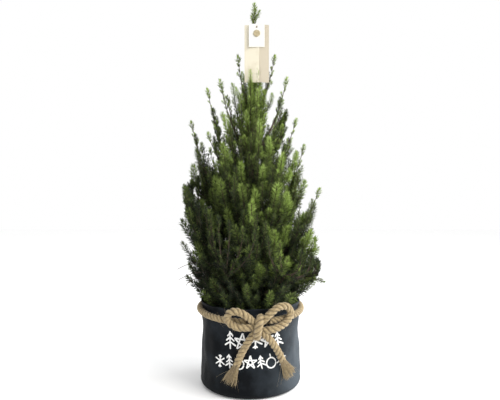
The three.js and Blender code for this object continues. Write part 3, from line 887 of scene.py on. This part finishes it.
def grow_shoot(depth, limb, point, proud):
    """One shoot from the best place on its limb to a tip inside its mass."""
    tall, needle, sprig_length = TIER_SHOOTS[limb["tier"]]
    stem, along = limb["stem"], limb["along"]
    out = (point - trunk_line(point[2])) * (1, 1, 0)
    bend = 0.14 + 1.0 * math.exp(-(point[2] - 0.17) / 0.065)
    lean = unit((0, 0, 1.0) + out / 0.12 * bend + crown_rng.normal(0, 0.09, 3) * (1, 1, 0))
    tall *= crown_rng.uniform(0.75, 1.2) * (1.3 if proud else 1.0)
    foot = point - lean * tall
    low_enough = (stem[:, 2] < point[2] - 0.35 * tall) & (np.arange(len(stem)) < BEARING_ROWS)
    choices = np.where(low_enough)[0]
    if not len(choices):
        choices = np.arange(4, 12)
    start = choices[np.argmin(np.linalg.norm(stem[choices] - foot, axis=1))]
    begin = stem[start]
    gap = np.linalg.norm(point - begin)
    knee = begin + (along[start] * 0.5 + (foot - begin) / (gap + 1e-6) * 0.8) * gap * 0.3
    path = curved(begin, knee, point - lean * gap * 0.55, point)
    green, fresh_green = greens_of(depth, point, proud)
    side_on = abs(out[0]) > 0.8 * abs(out[1])
    if point[2] > WHIP_HEIGHT and side_on and depth < WHIP_DEPTH and limb["tier"] != "crest":
        whip(path, min(0.9 * gap, 0.13), green, fresh_green, 0.0075, 0.0085)
    elif proud:
        shoot(path, min(tall, 0.95 * gap), green, fresh_green, 3700, needle * 1.12,
              sprig_length, 0.026)
    else:
        per_metre, sprig_gap = (2600, 0.018) if depth < SPARSE_DEPTH else (1500, 0.028)
        shoot(path, min(tall, 0.95 * gap), green, fresh_green, per_metre, needle * 0.85,
              sprig_length, sprig_gap)


def grow_spire(limb):
    """A limb's own end stands clear of its mass as a spire, thin at the crown's sides."""
    path = bough_line(limb["foot"], limb["tip"], np.linspace(0.35, 1, 40))
    run = run_along(path)[-1]
    _, needle, sprig_length = TIER_SHOOTS[limb["tier"]]
    tip = limb["tip"]
    green, fresh_green = greens_of(0.0, tip, True)
    if abs(tip[0]) > 1.2 * abs(tip[1]) and limb["tier"] != "skirt":
        whip(path, min(run, 0.16), green, fresh_green, 0.0075, 0.0095)
    else:
        shoot(path, min(run, 0.13), green, fresh_green, 3000, needle, sprig_length, 0.012)


for limb in limbs:
    limb["stem"] = bough_line(limb["foot"], limb["tip"], np.linspace(0, 1, STEM_ROWS))
    limb["along"] = path_frames(limb["stem"])[0]
    grow_spire(limb)
# No shoot ends outside the planter below its rim.
for depth, limb, point, proud in spread_tips():
    if point[2] > RIM_HEIGHT or math.hypot(point[0], point[1]) < RIM_REACH:
        grow_shoot(depth, limb, point, proud)


def heading(swing, reach=1.0, height=0.0):
    """A point on a circle round the plant."""
    return np.array((reach * math.cos(swing), reach * math.sin(swing), height))


def nearest_wood(point, most):
    """The nearest point of all the limbs' first stretches."""
    stems = np.concatenate([limb["stem"][:most] for limb in limbs])
    return stems[np.argmin(np.linalg.norm(stems - point, axis=1))]


# Whips stand a little out of the masses all round, between the limbs. The outline is the
# crown's reach at each height.
OUTLINE_HEIGHTS = (0.22, 0.26, 0.30, 0.35, 0.40, 0.44, 0.48, 0.52, 0.56, 0.60)
OUTLINE = (0.120, 0.138, 0.146, 0.148, 0.147, 0.136, 0.124, 0.110, 0.092, 0.078)
WHIPS, FILLERS, COMPANIONS = 110, 90, 9
GOLDEN_SHARE = 0.618
for k in range(WHIPS):
    swing = GOLDEN * k + 0.4
    if abs(math.sin(swing)) > 0.75 and k % 4:
        continue
    height = 0.23 + 0.35 * (((k * GOLDEN_SHARE) % 1.0) ** 1.15)
    reach = np.interp(height, OUTLINE_HEIGHTS, OUTLINE) * crown_rng.uniform(0.92, 1.02)
    reach *= 1 - 0.06 * abs(math.sin(swing)) + 0.055 * math.cos(swing)
    tip = heading(swing, reach, height)
    begin = nearest_wood(tip - (0, 0, 0.09), 44)
    path = curved(begin, begin + (tip - begin) * 0.25 + heading(swing) * 0.018,
                  tip - (0, 0, 0.055) - heading(swing) * 0.004, tip)
    green, fresh_green = greens_of(0.01, tip, k % 3 == 0)
    whip(path, 0.18, green, fresh_green, 0.0082, 0.0085)

# Fine shoots in dark greens, for old needles and painted shade, close the gaps between the limbs,
# well inside the crown.
for k in range(FILLERS):
    height = 0.225 + 0.21 * ((k * GOLDEN_SHARE) % 1.0)
    tip = heading(GOLDEN * k + 0.9, crown_rng.uniform(0.035, 0.085), height)
    begin = nearest_wood(tip - (0, 0, 0.06), 40)
    path = curved(begin, begin + (tip - begin) * 0.3, tip - (0, 0, 0.035), tip)
    shoot(path, 0.060, 0.3, 0.9, 1500, 0.0085, 0.018, 0.012)

# Odd ones: a low branch that sags to the right, and dry twigs at the left.
low_branch = curved(*np.array(((0.060, -0.020, 0.190), (0.085, -0.030, 0.225),
                               (0.125, -0.035, 0.225), (0.148, -0.036, 0.214))), 0.006)
whip(low_branch, 0.070, 2.4, 3.2, 0.0075, 0.006)
for reach, height in ((0.150, 0.238), (0.148, 0.216), (0.132, 0.204)):
    dry = curved(*np.array(((-0.085, -0.020, height + 0.012), (-0.105, -0.026, height + 0.020),
                            (-0.130, -0.030, height + 0.012), (-reach, -0.030, height))), 0.005)
    add_twig(dry, 0.0010, 0.0005)
    sprig(dry, 0.022, 0.009, 2.0, 1.2, 1.6, 2000, 0.005)
# The leading shoot above the tag's string, and below it the leader with a few more round it.
leading = trunk_line(np.linspace(0.744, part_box("foliage_leader_tip")[1][2] - 0.007, 16))
shoot(leading, 0.056, 3.9, 4.6, 3400, 0.0085, 0.013, 0.0060)
sprig(leading, 0.014, 0.022, 0.0, 3.7, 4.4, 3400, 0.0070)
shoot(trunk_line(np.linspace(0.540, 0.742, 40)), 0.200, 3.8, 4.4, 3000, 0.0110, 0.026, 0.008)
for k in range(COMPANIONS):
    foot, tip = trunk_line(0.455 + 0.012 * k), trunk_line(0.590 + 0.009 * k)
    away = heading(GOLDEN * k + 1.2) * (0.027 - 0.0014 * k)
    path = curved(foot, foot + away * 0.9 + (0, 0, 0.030), tip + away - (0, 0, 0.060), tip + away)
    shoot(path, 0.105, 3.7, 5.0, 2800, 0.0105, 0.017, 0.014)


def needle_finish(kind, colour):
    """A needle's waxy skin: one green, a soft gloss that changes a little from place to place."""
    finish, shader, place, _ = new_finish("needle_" + kind, 0.5)
    wax = add_node(finish.node_tree, "TexNoise", Vector=place["Object"], Scale=240)
    gloss = add_node(finish.node_tree, "MapRange", Value=wax["Fac"], To_Min=0.42, To_Max=0.70)
    set_up(shader, Base_Color=colour, Specular_IOR_Level=0.12, Roughness=gloss["Result"])
    return finish


def make_needles():
    masses = [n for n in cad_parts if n.startswith("foliage_")]
    pattern = np.array([(0, 1, 2), (0, 2, 3)])
    for (kind, colour), parts in zip(GREENS, sprays):
        needles = np.concatenate(parts)
        finish = needle_finish(kind, colour)
        for part, begin in enumerate(range(0, len(needles), MOST_NEEDLES)):
            some = needles[begin:begin + MOST_NEEDLES]
            faces = (np.arange(len(some))[:, None, None] * 4 + pattern).reshape(-1, 3)
            make_piece(f"needles_{kind}_{part + 1}", some, faces, finish, masses)


make_needles()
twigs.make("twigs", bark_finish("twig_bark", TWIG_BROWN, TWIG_DARK, 90))

# ==== the jute rope =======================================================================
# Thick three-strand jute, tied round the planter under its rim in a bow with two loops and two
# tails. The strands are loosely laid, and the tails' ends are unlaid into brushes.

ROPE_RADIUS, BOW_RADIUS, KNOT_RADIUS = 0.0065, 0.0072, 0.0078
ROPE_LAY, YARN_LAY, STRAND_SIDES, STRAND_SHARE, ROPE_STEP = 0.027, 0.017, 18, 0.49, 0.0018
KNOT_X, KNOT_Z = 0.014, 0.141
ROPE_BACK, ROPE_FRONT, BAND_GAP, BAND_STEPS = 0.161, 0.150, 11, 36
ROPE_LIE = float(cloth_radius(CINCH_HEIGHT)) + ROPE_RADIUS + 0.001
OVER = 2 * ROPE_RADIUS + 0.001
BRUSH_LENGTH, BRUSH_SPREAD, BRUSH_YARNS, BRUSH_HAIRS = 0.038, 0.0135, 34, 170
FUZZ_REACH, FUZZ_SHARE, KNOT_FUZZ = 0.010, 0.8, 40
JUTE_LIGHT = (0.375, 0.290, 0.155, 1)
JUTE_DARK = (0.170, 0.120, 0.060, 1)
# The last is painted shade for the lay between strands and yarns.
JUTE_PAINTED_SHADE = (0.105, 0.073, 0.036, 1)
# The bow's courses: aside, up, and forward of the band's own line. OVER lies on the band.
BOW = {
    "rope_loop_left": (
        (KNOT_X - 0.006, KNOT_Z + 0.008, 0.008), (-0.008, 0.164, OVER),
        (-0.026, 0.172, OVER + 0.002), (-0.040, 0.168, OVER + 0.002), (-0.043, 0.155, OVER),
        (-0.030, 0.144, OVER), (-0.010, 0.142, OVER), (KNOT_X - 0.006, KNOT_Z + 0.002, 0.008)),
    "rope_loop_right": (
        (KNOT_X + 0.006, KNOT_Z + 0.008, 0.008), (0.036, 0.166, OVER),
        (0.052, 0.178, OVER + 0.002), (0.068, 0.178, OVER + 0.002), (0.077, 0.164, OVER),
        (0.068, 0.148, OVER), (0.046, 0.138, OVER), (KNOT_X + 0.008, KNOT_Z - 0.006, 0.008)),
    "rope_tail_left": (
        (KNOT_X - 0.004, KNOT_Z - 0.008, 0.008), (-0.002, 0.118, 0.009),
        (-0.016, 0.094, 0.007), (-0.026, 0.070, 0.006)),
    "rope_tail_right": (
        (KNOT_X + 0.006, KNOT_Z - 0.008, 0.008), (0.036, 0.118, 0.009),
        (0.050, 0.096, 0.007), (0.061, 0.074, 0.006)),
}
KNOT_WRAP = (
    (KNOT_X + 0.006, KNOT_Z + 0.013, -0.001), (KNOT_X + 0.005, KNOT_Z + 0.018, 0.010),
    (KNOT_X + 0.002, KNOT_Z + 0.008, 0.0205), (KNOT_X - 0.001, KNOT_Z - 0.006, 0.0210),
    (KNOT_X - 0.002, KNOT_Z - 0.017, 0.011), (KNOT_X - 0.001, KNOT_Z - 0.014, 0.000))
rope_rng = np.random.default_rng(5)


def smooth_path(points, count):
    """A smooth curve through the given points, evenly divided."""
    p = np.asarray(points, dtype=float)
    run = np.concatenate([[0], np.cumsum(np.sqrt(np.linalg.norm(np.diff(p, axis=0), axis=1)))])
    ahead = np.gradient(p, run, axis=0)
    t = np.linspace(0, run[-1], count * 4)
    i = np.clip(np.searchsorted(run, t, side="right") - 1, 0, len(p) - 2)
    h = (run[i + 1] - run[i])[:, None]
    u = (t[:, None] - run[i][:, None]) / h
    fine = ((1 + 2 * u) * (1 - u) ** 2 * p[i] + u * (1 - u) ** 2 * h * ahead[i]
            + u * u * (3 - 2 * u) * p[i + 1] + u * u * (u - 1) * h * ahead[i + 1])
    length = run_along(fine)
    even = np.linspace(0, length[-1], count)
    return np.stack([np.interp(even, length, fine[:, k]) for k in range(3)], axis=1)


def steady_frames(path):
    """Crossways directions carried along a path without twist."""
    tangent = unit(np.gradient(path, axis=0))
    side = np.cross(tangent[0], (0.3, 0.2, 0.9))
    sides = []
    for t in tangent:
        side = unit(side - side.dot(t) * t)
        sides.append(side)
    sides = np.array(sides)
    return tangent, sides, np.cross(tangent, sides)


def lay_rope(pile, points, radius, phase):
    """Three strands laid round a course. Each strand has the small ridges of its yarns."""
    length = run_along(smooth_path(points, 60))[-1]
    path = smooth_path(points, max(30, int(length / ROPE_STEP)))
    _, side, front = steady_frames(path)
    run = np.linspace(0, length, len(path))
    strand = STRAND_SHARE * radius
    around = whole_turn(STRAND_SIDES)
    ridge = np.abs(np.sin((around[None, :] - run[:, None] / YARN_LAY) * 4))
    for number in range(3):
        wobble = np.array([noise.noise(Vector((s * 60, number * 7 + phase, 2))) for s in run])
        turn = phase + 2 * math.pi * (run / ROPE_LAY + number / 3) + 0.35 * wobble
        outward = side * np.cos(turn)[:, None] + front * np.sin(turn)[:, None]
        middle = path + outward * ((radius - strand) * (1 + 0.06 * wobble))[:, None]
        ring = rings_about(*steady_frames(middle)[1:], around)
        fat = strand * (0.90 + 0.15 * ridge + 0.05 * wobble[:, None])
        # The marks say how far each point faces out of the rope and where it lies on a yarn's ridge;
        # the jute finish paints shade where they are low.
        outermost = (ring * outward[:, None]).sum(axis=2) * 0.5 + 0.5
        pile.add(middle[:, None] + ring * fat[:, :, None], grid_faces(len(path), STRAND_SIDES),
                 np.stack([outermost, ridge], axis=2))
    return path


def fuzz(pile, path, count, radius):
    """Loose jute fibres that stand off a rope."""
    tangent, side, front = steady_frames(path)
    for _ in range(count):
        i = rope_rng.integers(1, len(path) - 1)
        a = rope_rng.uniform(0, 2 * math.pi)
        out = side[i] * math.cos(a) + front[i] * math.sin(a)
        along = tangent[i] * rope_rng.choice((-1, 1))
        begin = path[i] + out * radius * 0.92
        length = rope_rng.uniform(0.3, 1.0) ** 1.6 * FUZZ_REACH
        curl = rope_rng.normal(0, 0.35, 3)
        hair = curved(begin, begin + (along * 0.8 + out * 0.25) * length * 0.4,
                      begin + (along * 0.9 + out * 0.55 + 0.3 * curl) * length * 0.75,
                      begin + (along + out * 0.6 + curl) * length * 0.95, 0.003)
        pile.add_tube(hair, np.linspace(0.00012, 0.00006, len(hair)), 3)


def on_front(x, z, off):
    """A point in front of the planter, standing a distance off the band's own line."""
    reach = ROPE_LIE + off
    return (x, -math.sqrt(max(reach * reach - x * x, 0)), z)


def band_course():
    """Round the planter from one side of the knot to the other, higher at the back."""
    points = []
    front = math.degrees(math.asin(KNOT_X / ROPE_LIE)) - 90
    for step in range(BAND_STEPS + 1):
        a = math.radians(front + BAND_GAP + (360 - 2 * BAND_GAP) * step / BAND_STEPS)
        back = (1 + math.sin(a)) / 2
        z = ROPE_BACK - (ROPE_BACK - ROPE_FRONT) * (1 - back) ** 1.5
        lie = float(cloth_radius(z)) + ROPE_LIE - float(cloth_radius(CINCH_HEIGHT))
        points.append((lie * math.cos(a), lie * math.sin(a), z))
    return points


def jute_finish():
    """Dry plant fibre: fine lines along the yarn, lighter where it is worn, and a painted shade
    darker in the lay.
    """
    finish, shader, place, tone = new_finish("jute", 0.9, JUTE_LIGHT, JUTE_DARK, 260, 0.40, 0.74)
    tree = finish.node_tree
    # Painted shade darkens the lay between the strands and, less, the hollows between their yarns.
    marks = add_node(tree, "SeparateXYZ", place["UV"])
    strand = add_node(tree, "MapRange", Value=marks["X"], From_Min=0.44, From_Max=0.92)
    yarn = add_node(tree, "MapRange", Value=marks["Y"], From_Max=0.6, To_Min=0.45)
    unshaded_share = add_node(tree, "Math", strand["Result"], yarn["Result"], operation="MULTIPLY")
    rope_tone = add_node(tree, "Mix", data_type="RGBA", Factor=unshaded_share["Value"], A=JUTE_PAINTED_SHADE,
                         B=tone["Color"])
    set_up(shader, Base_Color=rope_tone["Result"], Sheen_Weight=0.2)
    add_grain(shader, place, 900, 0.7, 0.0005)
    return finish


def brush_end(pile, hairs, tail):
    """A tail's end, unlaid: yarns that part and flare, cut off nearly level."""
    place = tail[-1]
    down = unit(place - tail[-6])
    off = unit(place * (1, 1, 0))
    off -= off.dot(down) * down
    aside = np.cross(down, off)
    for _ in range(BRUSH_YARNS):
        angle = rope_rng.uniform(0, 2 * math.pi)
        reach = math.sqrt(rope_rng.random())
        across = aside * math.cos(angle) * 0.8 + off * math.sin(angle) * 0.5
        start = place + across * reach * ROPE_RADIUS
        fan = math.cos(angle) * reach * BRUSH_SPREAD + rope_rng.normal(0, 0.0012)
        forward = math.sin(angle) * reach * 0.006 + 0.001
        drop = down * BRUSH_LENGTH * rope_rng.uniform(0.86, 1.04)
        end = place + drop + aside * fan + off * forward
        knee = start + drop * 0.35 + aside * rope_rng.normal(0, 0.0008)
        yarn = curved(start - down * 0.006, knee, start + drop * 0.7 + aside * fan * 0.55, end, 0.003)
        size = rope_rng.uniform(0.0008, 0.0013)
        tone = (rope_rng.uniform(0.66, 1.0), rope_rng.uniform(0.0, 1.0))
        pile.add_tube(yarn, np.linspace(size, size * 0.7, len(yarn)), 6,
                      np.tile(tone, (6 * len(yarn), 1)))
    for _ in range(BRUSH_HAIRS):
        fan = rope_rng.normal(0, 0.45) * BRUSH_SPREAD
        start = (place + down * BRUSH_LENGTH * rope_rng.uniform(0.0, 0.5) + aside * fan * 0.4
                 + off * rope_rng.uniform(-0.002, 0.005))
        end = (place + down * BRUSH_LENGTH * rope_rng.uniform(0.8, 1.16)
               + aside * fan * rope_rng.uniform(0.8, 1.7) + off * rope_rng.uniform(-0.002, 0.007))
        mid = (start + end) / 2 + aside * rope_rng.normal(0, 0.0015)
        hair = curved(start, mid, mid, end, 0.004)
        hairs.add_tube(hair, np.linspace(0.00018, 0.00007, len(hair)), 3)


def make_rope():
    jute = jute_finish()
    hairs = Pile()
    courses = {"rope_band": band_course()}
    courses.update((name, [on_front(*p) for p in course]) for name, course in BOW.items())
    for number, (name, course) in enumerate(courses.items()):
        pile = Pile()
        thick = ROPE_RADIUS if name == "rope_band" else BOW_RADIUS
        path = lay_rope(pile, course, thick, number * 1.3)
        fuzz(hairs, path, int(len(path) * FUZZ_SHARE), ROPE_RADIUS)
        if name.startswith("rope_tail"):
            brush_end(pile, hairs, path)
        pile.make(name + "_strands", jute, [name], marked=True)
    knot = Pile()
    path = lay_rope(knot, [on_front(*p) for p in KNOT_WRAP], KNOT_RADIUS, 0.6)
    fuzz(hairs, path, KNOT_FUZZ, KNOT_RADIUS)
    knot.make("rope_knot_strands", jute, ["rope_knot"], marked=True)
    hairs.make("rope_fibres", jute, marked=True)


make_rope()

# ==== the card tag ========================================================================
# A folded cream card hangs from the leading shoot on a thin string, with a blank white label and
# a small round gold seal stuck on it. The string goes through a punched hole.

card_low, card_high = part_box("tag_card")
label_low, label_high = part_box("tag_label")
seal_low, seal_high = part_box("tag_seal")
CARD_MIDDLE = (card_low[0] + card_high[0]) / 2
CARD_HALF = (card_high[0] - card_low[0]) / 2
LABEL_HALF = (label_high[0] - label_low[0]) / 2
CREASE, CREASE_DEPTH, CARD_BOW = 0.005, 0.004, 0.0008
HOLE_RADIUS, HOLE_HEIGHT, HOLE_SPOKES, SHEET_RINGS = 0.0024, 0.740, 80, 16
CARD_THICK, LABEL_THICK, SEAL_COLUMNS = 0.0007, 0.0003, 48
CARD_CREAM = ((0.61, 0.565, 0.45, 1), (0.52, 0.465, 0.35, 1))
# A painted shade for the panel right of the crease.
CARD_PAINTED_SHADE = (0.39, 0.345, 0.265, 1)
LABEL_WHITE = ((0.64, 0.635, 0.60, 1), (0.58, 0.575, 0.53, 1))
# The seal's profile: shares of its radius, and how far its face stands forward there.
SEAL_ROWS = ((0.0, 0.0), (0.3, 0.0), (0.55, 0.0), (0.62, 0.0002), (0.70, 0.0), (0.86, 0.0),
             (0.92, 0.00025), (1.0, 0.0), (1.0, -0.0005))
STRING_RISE, STRING_LAY, STRING_STEPS = 0.005, 0.0030, 89
STRING_RADIUS, STRING_OFF = 0.00038, 0.00032
SPREAD_AT_STEM, SPREAD_IN_HOLE = 0.005, 0.0011


def card_face(x, z):
    """The folded card's face: it stands forward at its crease, and bows a little."""
    left = np.clip((x + CARD_HALF) / (CREASE + CARD_HALF), 0, 1)
    right = np.clip((CARD_HALF - x) / (CARD_HALF - CREASE), 0, 1)
    bow = CARD_BOW * np.sin((z - 0.63) * 40) * (x / CARD_HALF)
    return card_high[1] - 0.0009 - CREASE_DEPTH * np.minimum(left, right) + bow


def label_face(x, z):
    return label_low[1] + 0.0002 + 0.0005 * np.cos(x / LABEL_HALF * 1.4)


def sheet_with_hole(name, half, low, high, face_of, thick, finish, stands_for):
    """A thin plate round a hole: rings of points from the hole's edge out to the plate's."""
    corners = [math.atan2(z - HOLE_HEIGHT, x) % (2 * math.pi)
               for x in (-half, half) for z in (low, high)]
    a = np.sort(np.concatenate([whole_turn(HOLE_SPOKES) + 0.01, corners]))
    cos_a, sin_a = np.cos(a), np.sin(a)
    reach_x = half / np.maximum(np.abs(cos_a), 1e-9)
    reach_z = np.where(sin_a > 0, high - HOLE_HEIGHT, HOLE_HEIGHT - low) / np.maximum(
        np.abs(sin_a), 1e-9)
    shares = np.linspace(0, 1, SHEET_RINGS)[:, None] ** 1.3
    radius = HOLE_RADIUS + (np.minimum(reach_x, reach_z) - HOLE_RADIUS) * shares
    x, z = radius * cos_a, HOLE_HEIGHT + radius * sin_a
    face = np.stack([CARD_MIDDLE + x, face_of(x, z), z], axis=2)
    loop = np.concatenate([face, face[::-1] + (0, thick, 0), face[:1]])
    piece = make_piece(name, loop, grid_faces(len(loop), len(a)), finish, stands_for)
    for polygon in piece.data.polygons:
        polygon.use_smooth = False


def paper_finish(name, roughness, *tones):
    """Smooth paper with a faint tooth."""
    finish, shader, place, tone = new_finish(name, roughness, *tones)
    add_grain(shader, place, 700, 0.12, 0.0002)
    return finish, shader, place, tone


def make_tag():
    card, shader, place, tone = paper_finish("cream_card", 0.7, *CARD_CREAM, 45, 0.45, 0.75)
    # The panel right of the crease is painted a darker cream, a painted shade on that panel.
    tree = card.node_tree
    parts = add_node(tree, "SeparateXYZ", place["Object"])
    beyond = add_node(tree, "Math", parts["X"], CARD_MIDDLE + CREASE, operation="GREATER_THAN")
    panel = add_node(tree, "Mix", data_type="RGBA", Factor=beyond["Value"], A=tone["Color"],
                     B=CARD_PAINTED_SHADE)
    set_up(shader, Base_Color=panel["Result"])
    sheet_with_hole("card", CARD_HALF, card_low[2], card_high[2], card_face, CARD_THICK, card,
                    ["tag_card"])
    paper = paper_finish("white_label", 0.6, *LABEL_WHITE, 45, 0.4, 0.8)[0]
    sheet_with_hole("label", LABEL_HALF, label_low[2], label_high[2], label_face, LABEL_THICK,
                    paper, ["tag_label"])
    foil, shader, _, _ = new_finish("gold_seal", 0.35, (0.50, 0.43, 0.28, 1),
                                    (0.30, 0.24, 0.13, 1), 230, 0.4, 0.7)
    set_up(shader, Metallic=0.4)
    middle_x, middle_z = ((seal_low[k] + seal_high[k]) / 2 for k in (0, 2))
    size = (seal_high[0] - seal_low[0]) / 2
    points = [(middle_x + size * share * math.cos(a), seal_low[1] - lift + 0.0002,
               middle_z + size * share * math.sin(a))
              for share, lift in SEAL_ROWS for a in whole_turn(SEAL_COLUMNS)]
    make_piece("seal", points, grid_faces(len(SEAL_ROWS), SEAL_COLUMNS), foil,
               ["tag_seal"])


make_tag()

def make_string():
    """One loop of thin jute string, both strands through the hole and round the shoot."""
    stem = trunk_line(HOLE_HEIGHT + STRING_RISE)
    front = label_low[1] - 0.0016
    back = float(stem[1] + trunk_radius(HOLE_HEIGHT)) + 0.0022
    points = []
    for a in whole_turn(STRING_STEPS):
        x = min(1.0, (1 - math.sin(a)) / 2 / 0.8)
        share = x ** 2 * (3 - 2 * x)
        middle = stem[0] + (CARD_MIDDLE - stem[0]) * share
        spread = SPREAD_AT_STEM + (SPREAD_IN_HOLE - SPREAD_AT_STEM) * share
        points.append((middle + spread * math.cos(a),
                       (front + back) / 2 + (back - front) / 2 * math.sin(a),
                       HOLE_HEIGHT + STRING_RISE * (1 - share)))
    loop = np.array(points + points[:1])
    pile = Pile()
    _, side, across = steady_frames(loop)
    for number in range(2):
        turn = 2 * math.pi * run_along(loop) / STRING_LAY + number * math.pi
        outward = side * np.cos(turn)[:, None] + across * np.sin(turn)[:, None]
        pile.add_tube(loop + outward * STRING_OFF, STRING_RADIUS, 6)
    twine = new_finish("tag_twine", 0.9, (0.30, 0.21, 0.12, 1), (0.12, 0.08, 0.045, 1),
                       300, 0.4, 0.7)[0]
    pile.make("tag_twine", twine, ["tag_string"])


make_string()
